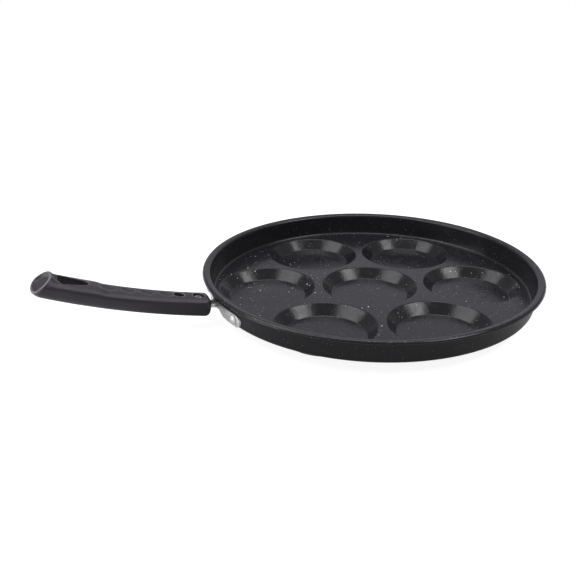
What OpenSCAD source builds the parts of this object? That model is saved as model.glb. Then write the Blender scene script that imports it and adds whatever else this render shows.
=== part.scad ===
// Aebleskiver pan: a round pressed pan with seven round wells, a turned lip, a riveted steel
// bracket and a moulded grip. Millimetres. The origin is the middle of the centre well's
// underside, on which the pan stands; +X runs along the handle and +Z is up.

/* [Pan] */
// Thickness of the pressed sheet
sheet_t = 1.2; // [0.8:0.1:1.6]
// Depth of the tray, from the top of the lip to the web between the wells
tray_h = 17.9; // [14:0.1:40]
// Inner radius of the corner between the web and the wall
corner_r = 2; // [1.6:0.1:4]
// How far the wall leans outwards, in degrees
wall_draft = 5; // [0:0.5:8]
// Web left between the ring of wells and the foot of the wall
wall_gap = 4.25; // [3:0.05:20]

/* [Wells] */
// Radius of a well where its edge leaves the web
well_r = 38.15; // [32:0.05:45]
// Depth of a well below the web
well_depth = 7.7; // [6:0.1:12]
// Slope of a well's side against its floor, in degrees
well_slope = 45; // [38:1:60]
// Radius of the well's rounded edge, on its upper face
well_edge_r = 1.8; // [1.7:0.1:2.6]
// Radius of the fillet round the well's floor
well_floor_fillet = 1.6; // [1:0.1:3]
// Web left between neighbouring wells
well_gap = 4.3; // [2:0.1:12]
// Wells in the ring round the centre well
ring_wells = 6; // [3:1:6]
// Angle from the handle to the nearest well of the ring, in degrees
ring_turn = -20.3; // [-60:0.1:60]

/* [Lip] */
// Inside radius of the bend where the wall turns out into the lip
lip_bend_r = 0.8; // [0.4:0.1:2]
// Width of the flat on top of the lip
lip_flat = 2.1; // [0.2:0.05:6]
// How far the flat rises towards its edge, in degrees
lip_tilt = 12; // [0:1:20]
// Outer radius of the lip's turned-down edge
lip_edge_r = 2.2; // [1.8:0.1:4]
// How far the lip's edge is turned down, in degrees
lip_turn = 84; // [60:1:90]

/* [Bracket] */
// Thickness of the bracket's sheet
bracket_t = 1.2; // [0.8:0.1:1.4]
// Half angle that the wings cover on the wall, in degrees
wing_angle = 17.2; // [16:0.1:24]
// Height of a wing
wing_h = 9.4; // [9:0.1:11]
// Height of the wings' lower edge above the web
wing_low = 0.3; // [0:0.1:2.6]
// Radius of the corners at a wing's tip
wing_corner_r = 4.2; // [2:0.1:4.4]
// Distance from the handle's axis to where a wing reaches its full height
wing_shoulder = 21; // [15:0.5:24]
// Distance from the handle's axis to where a wing reaches its full depth
wing_toe = 13.5; // [12:0.1:18]
// Inside radius of the bend between the neck's side and the wing
wing_bend_r = 4; // [2:0.1:4.6]
// Width of the channel-shaped neck between the pan and the grip
neck_w = 5.8; // [5.6:0.1:7]
// Height of the neck's sides, with its top
neck_h = 4.1; // [3.6:0.1:4.5]
// Height of the neck's top above the middle of the grip's front
neck_up = 3; // [2.4:0.1:3.1]
// Outer radius of the neck's two long edges
neck_edge_r = 1.6; // [1.5:0.1:1.9]
// Length of the tang inside the grip
tang_l = 34; // [16:0.5:60]

/* [Rivets] */
// Angle of each rivet from the handle's axis, in degrees
rivet_angle = 13.6; // [12:0.1:14]
// Diameter of a rivet's shank
rivet_d = 4; // [3:0.1:5]
// Diameter of the domed outer head
rivet_head_d = 8; // [6:0.1:9]
// Height of the domed outer head
rivet_head_h = 1.9; // [1:0.1:3]
// Diameter of the flat head inside the pan
rivet_tail_d = 6.6; // [5.5:0.1:9]
// Height of the flat head inside the pan
rivet_tail_h = 0.9; // [0.5:0.1:2]

/* [Grip] */
// Gap between the lip and the front of the grip
grip_gap = 0.7; // [0.5:0.1:20]
// Length of the grip along its curved middle line
grip_l = 118.5; // [114:0.1:160]
// Width of the grip at the front
grip_front_w = 19.5; // [17:0.5:26]
// Width of the grip at the back
grip_back_w = 24.8; // [22:0.1:34]
// Thickness of the grip at the front
grip_front_t = 14.5; // [14:0.1:18]
// Thickness of the grip at the back
grip_back_t = 12.4; // [11.8:0.1:18]
// Slope of the grip at the front, in degrees
grip_front_slope = 10.7; // [4:0.1:14]
// Slope of the grip at the back, in degrees
grip_back_slope = 22.7; // [17:0.1:32]
// Height of the grip's middle at the front, above the web
grip_high = 5.55; // [5.2:0.05:6.6]
// How square the grip's section is: 2 is an ellipse
grip_square = 3.2; // [2.4:0.1:4]
// Length over which the front edge is rounded
grip_front_round = 3.5; // [2:0.1:5]
// How far the ground round the hanging slot stands above the rest of the grip
grip_pad_h = 1; // [0.2:0.1:1.5]

/* [End face] */
// How much further than square the oval end face leans towards the pan, in degrees
face_tilt = 33.8; // [10:0.1:38]
// Length of grip over which its sections turn from square to the face's tilt
face_turn_l = 45; // [30:1:60]
// How far the face's upper edge stands above the ground round the slot
face_lip_h = 2.7; // [0.5:0.1:4]
// Length of grip over which the upper edge rises
face_lip_l = 6; // [2:0.1:8]
// Depth of the dish in the oval face
face_dish = 1.2; // [0.4:0.1:2.5]
// Width of the rounded border round the dish
face_border = 2; // [1.4:0.1:3]
// How square the oval face is: 2 is an ellipse
face_square = 2.1; // [2:0.1:3]
// Width of the scoop between the slot and the face
scoop_w = 13.6; // [8:0.1:15]
// Depth of the scoop
scoop_h = 2.4; // [0.6:0.1:3]
// Distance from the scoop to the end of the grip
scoop_back = 7.3; // [6.5:0.1:9]

/* [Slot and hollows] */
// Length of the hanging slot
slot_l = 20; // [18:0.5:26]
// Width of the hanging slot at its round front
slot_front_w = 9.4; // [6:0.1:12]
// Width of the hanging slot at its straight back
slot_back_w = 16; // [12.5:0.1:18]
// Radius of the slot's back corners
slot_corner_r = 3; // [1:0.1:4]
// Distance from the back of the slot to the end of the grip
slot_back = 11.2; // [10:0.1:20]
// Thumb hollows along the top of the grip
hollows = 4; // [1:1:4]
// Distance between neighbouring thumb hollows
hollow_pitch = 13.5; // [12:0.1:14]
// Distance from the front of the slot to the middle of the first hollow
hollow_start = 13.6; // [10:0.1:16]
// Length of a thumb hollow along the grip
hollow_l = 10.6; // [6:0.1:12]
// Depth of a thumb hollow
hollow_h = 1.3; // [0.4:0.1:2]
// Diameter of the round well behind the screw
blind_d = 7.4; // [4:0.1:9]
// Depth of the round well behind the screw
blind_h = 3.2; // [2:0.1:3.4]
// Distance from the front of the grip to the round well
blind_x = 23.3; // [20:0.1:24]

/* [Screw] */
// Distance from the front of the grip to the screw
screw_x = 8.6; // [6.5:0.1:10]
// Diameter of the screw's head
screw_head_d = 6.6; // [5:0.1:8]
// Height of the screw's head
screw_head_h = 2.2; // [1.4:0.1:3]
// Diameter of the screw's shank
screw_d = 2.8; // [2.2:0.1:2.9]
// Width of the cross in the screw's head
screw_cross_w = 2.8; // [1.6:0.1:3.6]
// Length of the screw's shank
screw_l = 9; // [7:0.1:10]
// How deep the head lies below the top of the grip
screw_sunk = 1.2; // [0.4:0.1:2]

/* [Clearances] */
// Gap between the bracket and the pan's wall, and under the rivets' heads
seat_gap = 0.15; // [0.05:0.01:0.3]
// Gap round a rivet's or the screw's shank
shank_gap = 0.1; // [0.05:0.01:0.3]
// Gap round the tang in its socket
tang_gap = 0.2; // [0.1:0.05:0.5]
// Gap round the screw's head in its pocket
head_gap = 0.9; // [0.3:0.1:1.5]

/* [Hidden] */
$fn = 96;
coating_color = [0.13, 0.13, 0.14];
steel_color = [0.78, 0.78, 0.78];
plastic_color = [0.16, 0.16, 0.17];
arc_steps = 8;      // straight steps in a quarter of a bend's outline
cut_over = 1;       // how far a cutter runs past the surface that it leaves

// levels of the pan and places of its wells
web_z = well_depth + sheet_t;
lip_top_z = web_z + tray_h;
ring_pitch = 2 * well_r + well_gap;
foot_r = ring_pitch + well_r + wall_gap;
wall_t = sheet_t / cos(wall_draft);
lip_bend_outer = lip_bend_r + sheet_t;
lip_edge_z = lip_top_z - lip_edge_r;
lip_bend_z = lip_edge_z - lip_flat * sin(lip_tilt) + (lip_edge_r - lip_bend_outer) * cos(lip_tilt);
lip_bend_x = tray_r(lip_bend_z) + lip_bend_outer / cos(wall_draft);
lip_edge_x = lip_bend_x + lip_flat * cos(lip_tilt) + (lip_edge_r - lip_bend_outer) * sin(lip_tilt);
rim_r = lip_edge_x + lip_edge_r;

// the bracket's seat on the wall, and the bend between its wing and its neck
wing_z0 = web_z + wing_low;
wing_z1 = wing_z0 + wing_h;
wing_mid_z = (wing_z0 + wing_z1) / 2;
wing_inner = tray_r(wing_z1) + wall_t + seat_gap;
wing_outer = wing_inner + bracket_t;
wing_y = wing_inner * sin(wing_angle);
bend_y = neck_w / 2 + wing_bend_r;
bend_x = sqrt(pow(wing_outer + wing_bend_r, 2) - pow(bend_y, 2));
bend_turn = atan2(bend_y, bend_x);
wing_tuck = 8;      // how far round the bend a wing's inner face stops short of the neck's, in degrees

// the grip's curved middle line
grip_x0 = rim_r + grip_gap;
grip_z0 = web_z + grip_high;
slope_rise = grip_back_slope - grip_front_slope;
curve_r = grip_l / (slope_rise * PI / 180);
section_steps = 36;
body_steps = 24;
lip_steps = 3;
// the face's border: how far in from the rim and how high, both in widths of the border
border_shape = [[0.15, 0.35], [0.5, 0.5], [0.85, 0.35]];
// the dish inside it: how far in, in widths of the border, and what share of the dish's depth
dish_shape = [[1.2, 0.3], [2, 1]];
pad_lead = 5;       // raised ground in front of the slot
pad_ramp = 6;       // length of the ramp up to it
pad_start = slot_s() - slot_l / 2 - pad_lead;

// radius of the wall's inner face at a height
function tray_r(z) = foot_r + (z - web_z) * tan(wall_draft);

// points of an arc round (x, z) from one angle to another
function arc(x, z, r, a0, a1, n = arc_steps) =
    [for (i = [0:n]) let (a = a0 + (a1 - a0) * i / n) [x + r * cos(a), z + r * sin(a)]];
function reversed(v) = [for (i = [len(v) - 1:-1:0]) v[i]];
// 0 below the first value, 1 above the second, smooth between
function ease(v, v0, v1) = let (u = min(1, max(0, (v - v0) / (v1 - v0)))) u * u * (3 - 2 * u);
function mix(a, b, u) = a + (b - a) * u;

// height of the neck's upper face at a distance from the pan's axis
function neck_top(x) = grip_z0 + neck_up / cos(grip_front_slope) - (grip_x0 - x) * tan(grip_front_slope);

// slope and place of the grip's middle line at a distance along it
function grip_slope(s) = grip_front_slope + slope_rise * s / grip_l;
function grip_mid(s) = [
    grip_x0 + curve_r * (sin(grip_slope(s)) - sin(grip_front_slope)),
    grip_z0 + curve_r * (cos(grip_front_slope) - cos(grip_slope(s)))];
function grip_half_w(s) = mix(grip_front_w, grip_back_w, ease(s, 0, grip_l)) / 2;
function grip_half_t(s) = mix(grip_front_t, grip_back_t, s / grip_l) / 2;
function slot_s() = grip_l - slot_back - slot_l / 2;
function pad_rise(s) = grip_pad_h * ease(s, pad_start - pad_ramp, pad_start);
function grip_top(s) = grip_half_t(s) + pad_rise(s);
function hollow_s(i) = slot_s() - slot_l / 2 - hollow_start - i * hollow_pitch;

// sheet profile of the tray, from the axis to the edge of the lip
module tray_profile() {
    corner_z = web_z + corner_r;
    corner_x = tray_r(corner_z) - corner_r / cos(wall_draft);
    wall_a = -wall_draft;
    bend_a = 180 - wall_draft;
    flat_a = 90 + lip_tilt;
    edge_a = 90 - lip_turn;
    upper = concat(
        [[0, web_z]],
        arc(corner_x, corner_z, corner_r, -90, wall_a),
        arc(lip_bend_x, lip_bend_z, lip_bend_outer, bend_a, flat_a),
        arc(lip_edge_x, lip_edge_z, lip_edge_r, flat_a, edge_a));
    lower = concat(
        [[0, web_z - sheet_t]],
        arc(corner_x, corner_z, corner_r + sheet_t, -90, wall_a),
        arc(lip_bend_x, lip_bend_z, lip_bend_r, bend_a, flat_a),
        arc(lip_edge_x, lip_edge_z, lip_edge_r - sheet_t, flat_a, edge_a));
    polygon(concat(upper, reversed(lower)));
}

// sheet profile of one well, from its axis to its edge in the web
module well_profile() {
    edge_z = web_z - well_edge_r;
    floor_z = web_z - well_depth;
    fillet_z = floor_z + well_floor_fillet;
    rounding = 1 - cos(well_slope);
    side_h = well_depth - (well_floor_fillet + well_edge_r) * rounding;
    floor_r = well_r - (well_edge_r + well_floor_fillet) * sin(well_slope) - side_h / tan(well_slope);
    upper = concat(
        [[0, floor_z]],
        arc(floor_r, fillet_z, well_floor_fillet, -90, well_slope - 90, arc_steps / 2),
        arc(well_r, edge_z, well_edge_r, 90 + well_slope, 90, arc_steps / 2));
    lower = concat(
        [[0, floor_z - sheet_t]],
        arc(floor_r, fillet_z, well_floor_fillet + sheet_t, -90, well_slope - 90, arc_steps / 2),
        arc(well_r, edge_z, well_edge_r - sheet_t, 90 + well_slope, 90, arc_steps / 2));
    polygon(concat(upper, reversed(lower)));
}

// puts its children at the centre well and at each well of the ring
module at_wells() {
    children();
    for (i = [0:ring_wells - 1])
        rotate(ring_turn + i * 360 / ring_wells)
            translate([ring_pitch, 0, 0])
                children();
}

// leans its children with the wall, about the wings' upper edge
module leaned() {
    translate([wing_inner, 0, wing_z1])
        rotate([0, wall_draft, 0])
            translate([-wing_inner, 0, -wing_z1])
                children();
}

// puts its children at each rivet on the wing's inner face, with their Z axis pointing out of it
module at_rivets() {
    leaned()
        for (side = [-1, 1])
            rotate(side * rivet_angle)
                translate([wing_inner, 0, wing_mid_z])
                    rotate([0, 90, 0])
                        children();
}

module rivet_holes() {
    reach = sheet_t + seat_gap + bracket_t + cut_over;
    at_rivets()
        translate([0, 0, -reach])
            cylinder(h = 2 * reach, r = rivet_d / 2 + shank_gap);
}

module pan_body() {
    color(coating_color)
    difference() {
        union() {
            difference() {
                rotate_extrude() tray_profile();
                at_wells()
                    translate([0, 0, web_z - sheet_t - cut_over])
                        cylinder(h = sheet_t + 2 * cut_over, r = well_r);
            }
            at_wells() rotate_extrude() well_profile();
        }
        rivet_holes();
    }
}

// the bent sheet of one wing seen from above: along the wall, then round the bend to the neck
module wing_plan() {
    outer = arc(0, 0, wing_outer, wing_angle, bend_turn);
    concave = arc(bend_x, bend_y, wing_bend_r, bend_turn + 180, 270);
    convex = arc(bend_x, bend_y, wing_bend_r + bracket_t, 270 - wing_tuck, bend_turn + 180);
    inner = arc(0, 0, wing_inner, bend_turn, wing_angle);
    polygon(concat(outer, concave, convex, inner));
}

// outline of one wing seen along the handle: low at the neck, full height from the shoulder
module wing_outline() {
    rise_steps = 10;
    root_y = neck_w / 2;
    sunk = (bend_x - wing_inner) * sin(wall_draft);
    root_z0 = neck_top(bend_x) - neck_h / cos(grip_front_slope) + seat_gap + sunk;
    root_z1 = neck_top(wing_inner) - seat_gap;
    rise = [for (i = [rise_steps:-1:0])
        let (y = mix(root_y, wing_shoulder, i / rise_steps))
        [y, mix(root_z1, wing_z1, ease(y, root_y, wing_shoulder))]];
    polygon(concat(
        [[0, root_z0], [root_y, root_z0], [wing_toe, wing_z0]],
        arc(wing_y - wing_corner_r, wing_z0 + wing_corner_r, wing_corner_r, -90, 0),
        arc(wing_y - wing_corner_r, wing_z1 - wing_corner_r, wing_corner_r, 0, 90),
        rise,
        [[0, root_z1]]));
}

// section of the neck: a channel open at the bottom with its top at height 0
module neck_section(over = 0) {
    half = neck_w / 2 + over;
    edge_r = neck_edge_r + over;
    low = -neck_h - over;
    inner_r = neck_edge_r - bracket_t;
    outer = concat(
        arc(half - edge_r, over - edge_r, edge_r, 0, 90),
        arc(edge_r - half, over - edge_r, edge_r, 90, 180),
        [[-half, low]]);
    if (over > 0)
        polygon(concat(outer, [[half, low]]));
    else
        polygon(concat(
            outer,
            [[bracket_t - half, low]],
            reversed(arc(neck_edge_r - half, -neck_edge_r, inner_r, 90, 180)),
            reversed(arc(half - neck_edge_r, -neck_edge_r, inner_r, 0, 90)),
            [[half - bracket_t, low], [half, low]]));
}

// the neck's section run along the slope of the grip's front
module along_neck(before, after) {
    at_grip(0)
        translate([-before, 0, neck_up])
            rotate([90, 0, 90])
                linear_extrude(height = before + after)
                    children();
}

// puts its children at a distance along the grip, with Z square to its middle line
module at_grip(s) {
    translate([grip_mid(s)[0], 0, grip_mid(s)[1]])
        rotate([0, -grip_slope(s), 0])
            children();
}

module screw_hole(length) {
    at_grip(screw_x)
        translate([0, 0, grip_top(screw_x) - screw_sunk - screw_head_h - length])
            cylinder(h = length + cut_over, r = screw_d / 2 + shank_gap);
}

module handle_bracket() {
    before = grip_x0 - wing_inner;
    cut = 2 * before;
    color(steel_color)
    difference() {
        union() {
            leaned()
                for (side = [0, 1])
                    mirror([0, side, 0])
                        intersection() {
                            linear_extrude(height = 2 * wing_z1) wing_plan();
                            rotate([90, 0, 90])
                                linear_extrude(height = 2 * wing_outer) wing_outline();
                        }
            difference() {
                along_neck(2 * before, tang_l) neck_section();
                translate([wing_inner + 2 * seat_gap - cut, -cut, 0])
                    cube([cut, 2 * cut, 2 * wing_z1]);
            }
        }
        rivet_holes();
        screw_hole(grip_front_t);
    }
}

// one rivet: a domed head on the wing, a shank through both sheets and a flat head in the pan
module rivet() {
    dome_r = (pow(rivet_head_d / 2, 2) + pow(rivet_head_h, 2)) / (2 * rivet_head_h);
    head_z = bracket_t + seat_gap;
    tail_z = -sheet_t - 2 * seat_gap;
    translate([0, 0, head_z])
        intersection() {
            translate([0, 0, rivet_head_h - dome_r]) sphere(r = dome_r);
            cylinder(h = rivet_head_h + cut_over, r = rivet_head_d / 2 + cut_over);
        }
    translate([0, 0, tail_z])
        cylinder(h = head_z - tail_z + rivet_head_h / 2, r = rivet_d / 2);
    translate([0, 0, tail_z - rivet_tail_h])
        cylinder(h = rivet_tail_h, r = rivet_tail_d / 2);
}

module bracket_rivets() {
    color(steel_color)
    at_rivets() rivet();
}

// One ring of points of the grip. mid is its middle in the plane of the handle, lean the angle of
// its upward axis, up and down its reach along that axis, and side its half width.
function grip_ring(mid, lean, up, down, side, square) =
    [for (i = [0:section_steps - 1])
        let (
            a = 360 * i / section_steps,
            c = cos(a),
            s = sin(a),
            y = side * sign(c) * pow(abs(c), 2 / square),
            v = (s > 0 ? up : down) * sign(s) * pow(abs(s), 2 / square))
        [mid[0] + v * cos(lean), y, mid[1] + v * sin(lean)]];

// how far a section is turned from square towards the tilt of the end face
function grip_turn(s) = face_tilt * ease(s, grip_l - face_turn_l, grip_l);
// 0 up to the face's raised edge, 1 on its rim
function lip_rise(s) = pow(max(0, s - grip_l + face_lip_l) / face_lip_l, 2);

// a ring of the grip, drawn in by an amount
function body_ring(s, drawn_in) = grip_ring(
    grip_mid(s), 90 + grip_slope(s) + grip_turn(s),
    grip_top(s) / cos(grip_turn(s)) + face_lip_h * lip_rise(s) - drawn_in,
    grip_half_t(s) / cos(grip_turn(s)) - face_border / 2 * lip_rise(s) - drawn_in,
    grip_half_w(s) - drawn_in,
    mix(grip_square, face_square, lip_rise(s)));

// a ring on the oval face, drawn in from its rim and raised along the face's own axis
function face_ring(drawn_in, raised) =
    let (
        lean = 90 + grip_back_slope + face_tilt,
        up = grip_top(grip_l) / cos(face_tilt) + face_lip_h,
        down = grip_half_t(grip_l) / cos(face_tilt) - face_border / 2)
    grip_ring(
        grip_mid(grip_l) + raised * [sin(lean), -cos(lean)], lean,
        up - drawn_in, down - drawn_in, grip_back_w / 2 - drawn_in, face_square);

module grip_blank() {
    front_steps = 4;
    lip_s = grip_l - face_lip_l;
    front = [for (i = [0:front_steps - 1])
        let (a = 90 * (1 - i / front_steps))
        body_ring(grip_front_round * (1 - sin(a)), grip_front_round * (1 - cos(a)))];
    body = [for (i = [0:body_steps])
        body_ring(mix(grip_front_round, lip_s, i / body_steps), 0)];
    lip = [for (i = [1:lip_steps]) body_ring(mix(lip_s, grip_l, i / lip_steps), 0)];
    border = [for (p = border_shape) face_ring(face_border * p[0], face_border * p[1])];
    dish = [for (p = dish_shape) face_ring(face_border * p[0], -face_dish * p[1])];
    rings = concat(front, body, lip, border, dish);
    count = len(rings);
    points = [for (ring = rings) each ring];
    faces = concat(
        [[for (i = [section_steps - 1:-1:0]) i]],
        [for (r = [0:count - 2]) for (i = [0:section_steps - 1])
            let (j = (i + 1) % section_steps, low = r * section_steps, high = low + section_steps)
            each [[low + i, low + j, high + j], [low + i, high + j, high + i]]],
        [[for (i = [0:section_steps - 1]) (count - 1) * section_steps + i]]);
    polyhedron(points = points, faces = faces, convexity = 6);
}

// the slot right through the grip, seen square to it: a round front that widens to a straight back
module slot_outline() {
    front_r = slot_front_w / 2;
    front_x = front_r - slot_l / 2;
    back_x = slot_l / 2 - slot_corner_r;
    back_y = slot_back_w / 2 - slot_corner_r;
    run = [back_x - front_x, back_y];
    side_turn = atan2(run[1], run[0]) + acos((front_r - slot_corner_r) / norm(run));
    polygon(concat(
        arc(front_x, 0, front_r, side_turn, 360 - side_turn, 2 * arc_steps),
        arc(back_x, -back_y, slot_corner_r, -side_turn, 0),
        arc(back_x, back_y, slot_corner_r, 0, side_turn)));
}

module hanging_slot() {
    reach = 2 * grip_front_t;
    at_grip(slot_s())
        translate([0, 0, -reach / 2])
            linear_extrude(height = reach)
                slot_outline();
}

// a shallow round hollow in the top of the grip
module hollow(s, width, depth) {
    ball_r = (pow(width / 2, 2) + pow(depth, 2)) / (2 * depth);
    at_grip(s)
        translate([0, 0, grip_top(s) - depth + ball_r])
            sphere(r = ball_r);
}

module thumb_hollows() {
    for (i = [0:hollows - 1]) hollow(hollow_s(i), hollow_l, hollow_h);
}

// round scoop that runs out of the slot towards the face
module face_scoop() {
    hollow(grip_l - scoop_back - scoop_w / 2, scoop_w, scoop_h);
}

module screw_pocket() {
    at_grip(screw_x)
        translate([0, 0, grip_top(screw_x) - screw_sunk - screw_head_h - seat_gap])
            cylinder(h = grip_front_t, r = screw_head_d / 2 + head_gap);
}

module blind_well() {
    at_grip(blind_x)
        translate([0, 0, grip_top(blind_x) - blind_h])
            cylinder(h = grip_front_t, r = blind_d / 2);
}

// socket in the front of the grip for the tang
module tang_socket() {
    along_neck(cut_over, tang_l + tang_gap) neck_section(tang_gap);
}

module handle_grip() {
    color(plastic_color)
    difference() {
        grip_blank();
        hanging_slot();
        thumb_hollows();
        face_scoop();
        blind_well();
        screw_pocket();
        screw_hole(screw_l + seat_gap + tang_gap);
        tang_socket();
    }
}

module grip_screw() {
    color(steel_color)
    at_grip(screw_x)
        translate([0, 0, grip_top(screw_x) - screw_sunk - screw_head_h])
            difference() {
                union() {
                    translate([0, 0, -screw_l]) cylinder(h = screw_l + screw_head_h / 2, r = screw_d / 2);
                    cylinder(h = screw_head_h, r = screw_head_d / 2);
                }
                for (turn = [0, 90])
                    rotate(turn)
                        translate([-screw_cross_w / 2, -screw_cross_w / 8, screw_head_h / 2])
                            cube([screw_cross_w, screw_cross_w / 4, screw_head_h]);
            }
}

pan_body();
handle_bracket();
bracket_rivets();
handle_grip();
grip_screw();
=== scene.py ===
import math

import bpy
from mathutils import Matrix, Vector


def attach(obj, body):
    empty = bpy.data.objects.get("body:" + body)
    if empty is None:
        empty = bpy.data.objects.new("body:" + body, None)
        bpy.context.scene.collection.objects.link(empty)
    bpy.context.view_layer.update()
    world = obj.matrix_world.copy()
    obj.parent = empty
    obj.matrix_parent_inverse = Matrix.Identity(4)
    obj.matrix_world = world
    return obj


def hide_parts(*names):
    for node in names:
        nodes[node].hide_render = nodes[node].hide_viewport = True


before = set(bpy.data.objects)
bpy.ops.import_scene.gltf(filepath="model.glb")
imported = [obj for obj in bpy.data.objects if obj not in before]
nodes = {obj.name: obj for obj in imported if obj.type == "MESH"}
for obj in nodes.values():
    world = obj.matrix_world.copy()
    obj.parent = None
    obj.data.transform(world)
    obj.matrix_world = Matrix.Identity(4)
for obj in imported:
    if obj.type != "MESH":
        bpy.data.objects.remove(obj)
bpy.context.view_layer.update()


# The camera stands where the photograph was taken from: 61 degrees round from the handle, a little
# over half a metre from the middle of the pan, and looking down at about 24 degrees.
CAMERA_PLACE = Vector((0.2508, 0.4524, 0.2309))
CAMERA_FORWARD = Vector((-0.3408, -0.8502, -0.4014))
CAMERA_LENS_MM = 44.167
CAMERA_SENSOR_MM = 36.0
CAMERA_NEAR = 0.01

camera_data = bpy.data.cameras.new("studio_camera")
camera_data.lens = CAMERA_LENS_MM
camera_data.sensor_width = CAMERA_SENSOR_MM
camera_data.clip_start = CAMERA_NEAR
camera = bpy.data.objects.new("studio_camera", camera_data)
camera.location = CAMERA_PLACE
camera.rotation_euler = CAMERA_FORWARD.to_track_quat("-Z", "Y").to_euler()
bpy.context.scene.collection.objects.link(camera)
bpy.context.scene.camera = camera


# Tray and wells: one steel sheet, pressed cold, then sprayed with a dark non-stick coating that
# carries small pale stone flakes and dries to a faintly rippled satin. The sheet keeps its packed
# shape and gets the coating here.
COATING_COLOR = (0.0125, 0.0121, 0.0146)
COATING_IOR = 1.38
COATING_ROUGHNESS = (0.14, 0.27)
FLAKE_WHITE = (0.62, 0.62, 0.63)
FLAKE_GREY = (0.085, 0.085, 0.092)
# each kind of flake: cells per metre, largest radius in cells, share of the cells that hold one
LARGE_FLAKES = (190, 0.12, 0.3)
SMALL_FLAKES = (430, 0.15, 0.32)
DULL_FLAKES = (480, 0.22, 0.4)
# radius of the smallest flake of a kind, as a share of the largest
SMALLEST_FLAKE = 0.45
# each kind of patch: noise per metre, and the noise levels that count as none and as full
CROWDED_PATCHES = (30, 0.42, 0.6)
GLOSS_PATCHES = (240, 0.35, 0.65)
PATCH_DETAIL = 3.0
# the spray thins out from the foot of the wall upwards
WALL_FOOT_R = 0.121
WALL_TOP_R = 0.1235
WALL_SHARE = 0.1
# the dried spray's ripple, and how far white flakes stand out, in heights of the ripple
RIPPLES_PER_METRE = 480.0
RIPPLE_DETAIL = 4.0
RIPPLE_HEIGHT = 0.00013
RIPPLE_STRENGTH = 0.6
FLAKE_STAND = 0.6
# how far apart the shader nodes are laid out
NODE_STEP = 220


def linked(tree, kind, inputs, **values):
    """A new shader node whose inputs are either linked from sockets or set to plain values."""
    node = tree.nodes.new(kind)
    node.location = (NODE_STEP * len(tree.nodes), 0)
    for name, value in values.items():
        setattr(node, name, value)
    for key, value in inputs.items():
        if isinstance(value, bpy.types.NodeSocket):
            tree.links.new(value, node.inputs[key])
        else:
            node.inputs[key].default_value = value
    return node


def maths(tree, operation, *inputs):
    """The result of one sum on sockets and plain values."""
    return linked(tree, "ShaderNodeMath", dict(enumerate(inputs)), operation=operation).outputs[0]


def ranged(tree, value, start, end, to_start=0.0, to_end=1.0):
    """A value carried from one range to another, and held inside it."""
    return linked(tree, "ShaderNodeMapRange", {
        "Value": value, "From Min": start, "From Max": end,
        "To Min": to_start, "To Max": to_end}).outputs["Result"]


def mixed(tree, share, first, second):
    """The first colour, turned into the second by a share."""
    return linked(tree, "ShaderNodeMix", {"Factor": share, "A": first, "B": second},
                  data_type="RGBA").outputs["Result"]


def length_of(tree, place):
    """How far a place lies from the origin."""
    return linked(tree, "ShaderNodeVectorMath", {0: place}, operation="LENGTH").outputs["Value"]


def new_material(name):
    """A node material, its tree, its surface shader and the object's own coordinates."""
    material = bpy.data.materials.new(name)
    material.use_nodes = True
    tree = material.node_tree
    place = linked(tree, "ShaderNodeTexCoord", {}).outputs["Object"]
    return material, tree, tree.nodes["Principled BSDF"], place


def bumped(tree, shader, height, depth, strength):
    """Gives a surface the small relief of a height."""
    bump = linked(tree, "ShaderNodeBump", {"Height": height, "Distance": depth, "Strength": strength})
    tree.links.new(bump.outputs["Normal"], shader.inputs["Normal"])


def flakes(tree, place, kind):
    """Round flakes scattered through space, so that the surface cuts them at many sizes."""
    cells_per_metre, radius, share = kind
    cells = linked(tree, "ShaderNodeTexVoronoi", {"Vector": place, "Scale": cells_per_metre})
    chance = linked(tree, "ShaderNodeSeparateColor", {"Color": cells.outputs["Color"]})
    chosen = maths(tree, "GREATER_THAN", chance.outputs["Red"], 1 - share)
    size = ranged(tree, chance.outputs["Green"], 0.0, 1.0, radius * SMALLEST_FLAKE, radius)
    near = maths(tree, "LESS_THAN", cells.outputs["Distance"], size)
    return maths(tree, "MULTIPLY", near, chosen)


def patches(tree, place, kind):
    """0 to 1 in soft patches."""
    per_metre, none, full = kind
    noise = linked(tree, "ShaderNodeTexNoise", {
        "Vector": place, "Scale": per_metre, "Detail": PATCH_DETAIL})
    return ranged(tree, noise.outputs["Fac"], none, full)


coating, tree, shader, place = new_material("stone_coating")
level = linked(tree, "ShaderNodeMapping", {"Vector": place, "Scale": (1, 1, 0)})
from_axis = length_of(tree, level.outputs["Vector"])
thinned = ranged(tree, from_axis, WALL_FOOT_R, WALL_TOP_R, 1.0, WALL_SHARE)
crowded = maths(tree, "MULTIPLY", thinned, patches(tree, place, CROWDED_PATCHES))
flaked = maths(tree, "MAXIMUM", flakes(tree, place, LARGE_FLAKES), flakes(tree, place, SMALL_FLAKES))
white = maths(tree, "MULTIPLY", flaked, crowded)
dull = flakes(tree, place, DULL_FLAKES)
ground = mixed(tree, dull, (*COATING_COLOR, 1), (*FLAKE_GREY, 1))
tree.links.new(mixed(tree, white, ground, (*FLAKE_WHITE, 1)), shader.inputs["Base Color"])
shader.inputs["IOR"].default_value = COATING_IOR
gloss = ranged(tree, patches(tree, place, GLOSS_PATCHES), 0.0, 1.0, *COATING_ROUGHNESS)
tree.links.new(gloss, shader.inputs["Roughness"])
ripple = linked(tree, "ShaderNodeTexNoise", {
    "Vector": place, "Scale": RIPPLES_PER_METRE, "Detail": RIPPLE_DETAIL})
skin = maths(tree, "MULTIPLY_ADD", white, FLAKE_STAND, ripple.outputs["Fac"])
bumped(tree, shader, skin, RIPPLE_HEIGHT, RIPPLE_STRENGTH)
nodes["pan_body"].material_slots[0].material = coating


# Bracket: one strip of stainless sheet, bent to a channel at the grip and to two wings that lie on
# the wall. Its sheared edges are broken, and the belt that polished it left fine lines along it.
SHEET_EDGE = 0.00025
STEEL_COLOR = (0.95, 0.935, 0.935)
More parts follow.
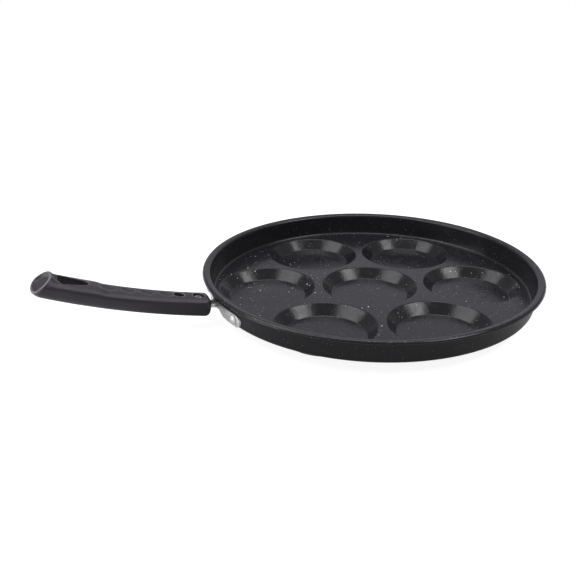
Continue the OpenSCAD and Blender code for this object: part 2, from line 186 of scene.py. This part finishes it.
# packed corners closer than this are one corner, and faces flatter than this are one face
SAME_CORNER = 0.000002
SAME_FACE = math.radians(0.5)
# edges sharper than the first are rounded, and shading is smooth over edges blunter than the second
SHARP_EDGE = math.radians(35)
SMOOTH_EDGE = math.radians(30)
# steel's mottle: its patches, and how bright the dark ones are
MOTTLE_PATCHES = (900, 0.4, 0.6)
MOTTLE_SHADE = 0.8
# polishing lines: their noise, the levels of it in use, and how much smoother and rougher they are
LINE_DETAIL = 4.0
LINE_ROUGHNESS = 0.6
LINE_LEVELS = (0.3, 0.7)
LINE_STRENGTH = 0.4
LINE_SMOOTHER = 0.06
LINE_ROUGHER = 0.08


def selected(piece):
    """Makes a piece the only one that is selected, and the active one."""
    bpy.ops.object.select_all(action="DESELECT")
    piece.select_set(True)
    bpy.context.view_layer.objects.active = piece


def closed_copy(node, name):
    """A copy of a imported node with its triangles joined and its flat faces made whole."""
    piece = bpy.data.objects.new(name, nodes[node].data.copy())
    piece.data.name = name
    bpy.context.scene.collection.objects.link(piece)
    selected(piece)
    bpy.ops.object.mode_set(mode="EDIT")
    bpy.ops.mesh.select_all(action="SELECT")
    bpy.ops.mesh.remove_doubles(threshold=SAME_CORNER)
    bpy.ops.mesh.dissolve_limited(angle_limit=SAME_FACE)
    bpy.ops.object.mode_set(mode="OBJECT")
    return piece


def applied(piece, kind, **values):
    """Adds a modifier to a piece and applies it."""
    modifier = piece.modifiers.new(kind.lower(), kind)
    for name, value in values.items():
        setattr(modifier, name, value)
    selected(piece)
    bpy.ops.object.modifier_apply(modifier=modifier.name)


def broken_edges(piece, width, steps):
    """Rounds a piece's sharp edges and shades the rest smooth."""
    applied(piece, "BEVEL", width=width, segments=steps, limit_method="ANGLE",
            angle_limit=SHARP_EDGE, use_clamp_overlap=True)
    selected(piece)
    bpy.ops.object.shade_smooth_by_angle(angle=SMOOTH_EDGE)


def steel(name, color, rough, lines, line_depth, stretch=(1.0, 1.0, 1.0)):
    """Steel with fine polishing lines along one way and a fine mottle."""
    material, tree, shader, place = new_material(name)
    shader.inputs["Metallic"].default_value = 1.0
    run = linked(tree, "ShaderNodeMapping", {"Vector": place, "Scale": stretch})
    grain = linked(tree, "ShaderNodeTexNoise", {
        "Vector": run.outputs["Vector"], "Scale": lines,
        "Detail": LINE_DETAIL, "Roughness": LINE_ROUGHNESS}).outputs["Fac"]
    shade = [MOTTLE_SHADE * channel for channel in color]
    tone = mixed(tree, patches(tree, place, MOTTLE_PATCHES), (*color, 1), (*shade, 1))
    tree.links.new(tone, shader.inputs["Base Color"])
    gloss = ranged(tree, grain, *LINE_LEVELS, rough - LINE_SMOOTHER, rough + LINE_ROUGHER)
    tree.links.new(gloss, shader.inputs["Roughness"])
    bumped(tree, shader, grain, line_depth, LINE_STRENGTH)
    return material


def dressed(piece, material, node):
    """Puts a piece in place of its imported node, in its finish."""
    piece.data.materials.clear()
    piece.data.materials.append(material)
    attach(piece, "root")
    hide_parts(node)


wings = closed_copy("handle_bracket", "bracket_sheet")
broken_edges(wings, SHEET_EDGE, steps=2)
bracket_steel = steel(
    "bracket_steel", STEEL_COLOR, rough=0.46, lines=900.0, line_depth=0.00002, stretch=(0.25, 0.25, 2.0))
dressed(wings, bracket_steel, "handle_bracket")


# Rivets: two solid steel rivets through wing and wall, set with a satin domed head outside and a
# flat head in the pan.
RIVET_EDGE = 0.00035
RIVET_COLOR = (0.88, 0.87, 0.87)

heads = closed_copy("bracket_rivets", "set_rivets")
broken_edges(heads, RIVET_EDGE, steps=3)
rivet_steel = steel("rivet_steel", RIVET_COLOR, rough=0.54, lines=500.0, line_depth=0.00001)
dressed(heads, rivet_steel, "bracket_rivets")


# Grip: a black thermoset moulding, with the hanging slot, the thumb hollows and the dished end face
# moulded in. Every edge leaves the mould rounded and the skin is a fine even satin. The edges that
# stand out carry a painted highlight: their colour is made paler in patches.
GRIP_COLOR = (0.0125, 0.0116, 0.0142)
GRIP_PAINTED_HIGHLIGHT = (0.15, 0.145, 0.16)
GRIP_IOR = 1.53
GRIP_GLOSS_TINT = (0.94, 0.89, 1.0)
GRIP_SHEEN = 0.1
GRIP_SHEEN_ROUGHNESS = 0.3
GRIP_ROUGHNESS = (0.42, 0.52)
SATIN_PATCHES = (70, 0.3, 0.7)
HIGHLIGHT_PATCHES = (45, 0.15, 0.6)
# the skin's grain
GRAINS_PER_METRE = 1900.0
GRAIN_DETAIL = 3.0
GRAIN_ROUGHNESS = 0.65
GRAIN_DEPTH = 0.00005
GRAIN_STRENGTH = 0.3
# the mesh's cell, and how many smoothing passes, each halfway, every edge and the flanks get
GRIP_VOXEL = 0.00036
HALFWAY = 0.5
GRIP_EDGE_PASSES = 5
GRIP_FLANK_PASSES = 70
GRIP_SLOPE = math.radians(16)
# cosines of the turn away from facing up at which the surface starts and ends to become flank
FLANK_START = 0.93
FLANK_FULL = 0.6
# the end face keeps its border: the flanks' smoothing fades out in front of it
FACE_START = 0.222
FACE_FADE = 0.012
# an edge gets the painted highlight by how far it stands out of a softened copy, in metres
SOFTEN_PASSES = 14
HIGHLIGHT_FROM = 0.000015
HIGHLIGHT_FULL = 0.00007


def clamped(share):
    """A share held between none and all."""
    return min(1.0, max(0.0, share))


def vertex_share(piece, name, share_of):
    """A vertex group whose weights come from a function of each vertex."""
    group = piece.vertex_groups.new(name=name)
    for vertex in piece.data.vertices:
        share = clamped(share_of(vertex))
        if share > 0:
            group.add([vertex.index], share, "REPLACE")
    return name


def flank_share(vertex):
    """How much of a vertex is flank, away from the grip's top and from its end face."""
    before_face = clamped((FACE_START - vertex.co.x) / FACE_FADE)
    return before_face * (FLANK_START - vertex.normal.dot(grip_up)) / (FLANK_START - FLANK_FULL)


moulding = closed_copy("handle_grip", "grip_moulding")
applied(moulding, "REMESH", mode="VOXEL", voxel_size=GRIP_VOXEL, adaptivity=0.0)
applied(moulding, "SMOOTH", factor=HALFWAY, iterations=GRIP_EDGE_PASSES)
grip_up = Vector((-math.sin(GRIP_SLOPE), 0, math.cos(GRIP_SLOPE)))
flanks = vertex_share(moulding, "flanks", flank_share)
applied(moulding, "SMOOTH", factor=HALFWAY, iterations=GRIP_FLANK_PASSES, vertex_group=flanks)
selected(moulding)
bpy.ops.object.shade_smooth()
softened = moulding.copy()
softened.data = moulding.data.copy()
bpy.context.scene.collection.objects.link(softened)
applied(softened, "SMOOTH", factor=HALFWAY, iterations=SOFTEN_PASSES)
stand_out = moulding.data.attributes.new("stand_out", "FLOAT", "POINT")
stand_out.data.foreach_set("value", [
    (vertex.co - soft.co).dot(vertex.normal)
    for vertex, soft in zip(moulding.data.vertices, softened.data.vertices)])
bpy.data.objects.remove(softened)

grip_plastic, tree, shader, place = new_material("grip_plastic")
shader.inputs["IOR"].default_value = GRIP_IOR
shader.inputs["Specular Tint"].default_value = (*GRIP_GLOSS_TINT, 1)
shader.inputs["Sheen Weight"].default_value = GRIP_SHEEN
shader.inputs["Sheen Roughness"].default_value = GRIP_SHEEN_ROUGHNESS
# painted highlight: edges that stand out of the softened copy are coloured paler, in patches
edges = linked(tree, "ShaderNodeAttribute", {}, attribute_name="stand_out")
edge_share = ranged(tree, edges.outputs["Fac"], HIGHLIGHT_FROM, HIGHLIGHT_FULL)
painted_highlight = maths(tree, "MULTIPLY", edge_share, patches(tree, place, HIGHLIGHT_PATCHES))
tone = mixed(tree, painted_highlight, (*GRIP_COLOR, 1), (*GRIP_PAINTED_HIGHLIGHT, 1))
tree.links.new(tone, shader.inputs["Base Color"])
satin = ranged(tree, patches(tree, place, SATIN_PATCHES), 0.0, 1.0, *GRIP_ROUGHNESS)
tree.links.new(satin, shader.inputs["Roughness"])
grain = linked(tree, "ShaderNodeTexNoise", {
    "Vector": place, "Scale": GRAINS_PER_METRE, "Detail": GRAIN_DETAIL, "Roughness": GRAIN_ROUGHNESS})
bumped(tree, shader, grain.outputs["Fac"], GRAIN_DEPTH, GRAIN_STRENGTH)
dressed(moulding, grip_plastic, "handle_grip")


# Screw: a plated steel screw, driven down through the grip's pocket into the tang. Its head has a
# rounded rim and a cross.
SCREW_TILT = math.radians(11.6)
SCREW_RIM_R = 0.0031
SCREW_DOME = 0.0011
SCREW_EDGE = 0.0001
SCREW_COLOR = (0.36, 0.36, 0.37)

screw = closed_copy("grip_screw", "tang_screw")
screw_axis = Vector((-math.sin(SCREW_TILT), 0, math.cos(SCREW_TILT)))
middle = sum((vertex.co for vertex in screw.data.vertices), Vector()) / len(screw.data.vertices)
rim = vertex_share(screw, "head_rim", lambda vertex: float(
    (vertex.co - middle).cross(screw_axis).length > SCREW_RIM_R
    and vertex.normal.dot(screw_axis) > 0))
applied(screw, "BEVEL", width=SCREW_DOME, segments=5, limit_method="VGROUP", vertex_group=rim)
broken_edges(screw, SCREW_EDGE, steps=2)
screw_steel = steel("screw_steel", SCREW_COLOR, rough=0.24, lines=700.0, line_depth=0.00001)
dressed(screw, screw_steel, "grip_screw")


# Floor and lights: a pale floor that is white to the camera, a pale room that is white to it too,
# five soft boxes, and a large dim panel low behind the pan that the flat parts of it mirror.
FLOOR_HALF = 4.0
FLOOR_DROP = 0.0002
FLOOR_PALE = (0.3, 0.3, 0.3)
FLOOR_ROUGHNESS = 0.9
FLOOR_SHOWN = 0.9
# what the pieces mirror of it: a painted shade, darker beside the pan's wall, and full out in the open
FLOOR_MIRRORED_SHADE_TO_OPEN = (0.19, 0.85)
PAINTED_SHADE_R = 0.16
PAINTED_SHADE_END_R = 0.21
WHITE = (1, 1, 1)
ROOM_LIGHT = 0.32
ROOM_TINT = (0.96, 0.94, 1.0)
COOL_TINT = (0.93, 0.89, 1.0)

bpy.ops.object.select_all(action="DESELECT")
bpy.ops.mesh.primitive_plane_add(size=2 * FLOOR_HALF, location=(0, 0, -FLOOR_DROP))
floor = bpy.context.active_object
floor.name = "studio_floor"
floor_white, tree, shader, place = new_material("floor_white")
shader.inputs["Base Color"].default_value = (*FLOOR_PALE, 1)
shader.inputs["Roughness"].default_value = FLOOR_ROUGHNESS
shader.inputs["Emission Color"].default_value = (*WHITE, 1)
path = linked(tree, "ShaderNodeLightPath", {}).outputs
by_mirror = maths(tree, "MAXIMUM", path["Is Glossy Ray"], path["Is Transmission Ray"])
# painted shade: the floor mirrors darker close to the pan's wall, as if the pan shaded it, and brighter
# further out
painted_shade_ramp = ranged(tree, length_of(tree, place), PAINTED_SHADE_R, PAINTED_SHADE_END_R, *FLOOR_MIRRORED_SHADE_TO_OPEN)
mirrored = maths(tree, "MULTIPLY", by_mirror, painted_shade_ramp)
shown = maths(tree, "MULTIPLY_ADD", path["Is Camera Ray"], FLOOR_SHOWN, mirrored)
tree.links.new(shown, shader.inputs["Emission Strength"])
floor.data.materials.append(floor_white)

world = bpy.data.worlds.new("studio_world")
world.use_nodes = True
tree = world.node_tree
tree.nodes.clear()
by_camera = linked(tree, "ShaderNodeLightPath", {}).outputs["Is Camera Ray"]
room = linked(tree, "ShaderNodeBackground", {
    "Color": mixed(tree, by_camera, (*ROOM_TINT, 1), (*WHITE, 1)),
    "Strength": maths(tree, "MULTIPLY_ADD", by_camera, 1 - ROOM_LIGHT, ROOM_LIGHT)})
linked(tree, "ShaderNodeOutputWorld", {"Surface": room.outputs[0]})
bpy.context.scene.world = world


def soft_box(name, turn, height, distance, size, radiance, tint=WHITE):
    """A lamp seen from the pan at an angle round it and a height above it, in degrees."""
    level = distance * math.cos(math.radians(height))
    stand = Vector((
        level * math.cos(math.radians(turn)),
        level * math.sin(math.radians(turn)),
        distance * math.sin(math.radians(height))))
    data = bpy.data.lights.new(name, "AREA")
    data.shape = "RECTANGLE"
    data.color = tint
    data.size, data.size_y = size
    data.energy = radiance * math.pi * size[0] * size[1]
    lamp = bpy.data.objects.new(name, data)
    lamp.location = stand
    lamp.rotation_euler = (-stand).to_track_quat("-Z", "Y").to_euler()
    lamp.visible_camera = False
    bpy.context.scene.collection.objects.link(lamp)


soft_box("right_box", turn=138, height=53, distance=1.3, size=(0.7, 0.4), radiance=6.5)
soft_box("left_box", turn=-17, height=53, distance=1.3, size=(1.0, 0.62), radiance=3.7)
soft_box("back_box", turn=241, height=70, distance=1.5, size=(1.2, 0.5), radiance=2.5)
soft_box("low_box", turn=-12, height=8, distance=1.0, size=(0.8, 0.4), radiance=3.6)
soft_box("top_box", turn=241, height=86, distance=1.5, size=(0.7, 0.35), radiance=5.0)
soft_box("pale_panel", turn=241, height=24, distance=1.5, size=(1.7, 0.9), radiance=0.26, tint=COOL_TINT)

bpy.context.scene.view_settings.view_transform = "Standard"
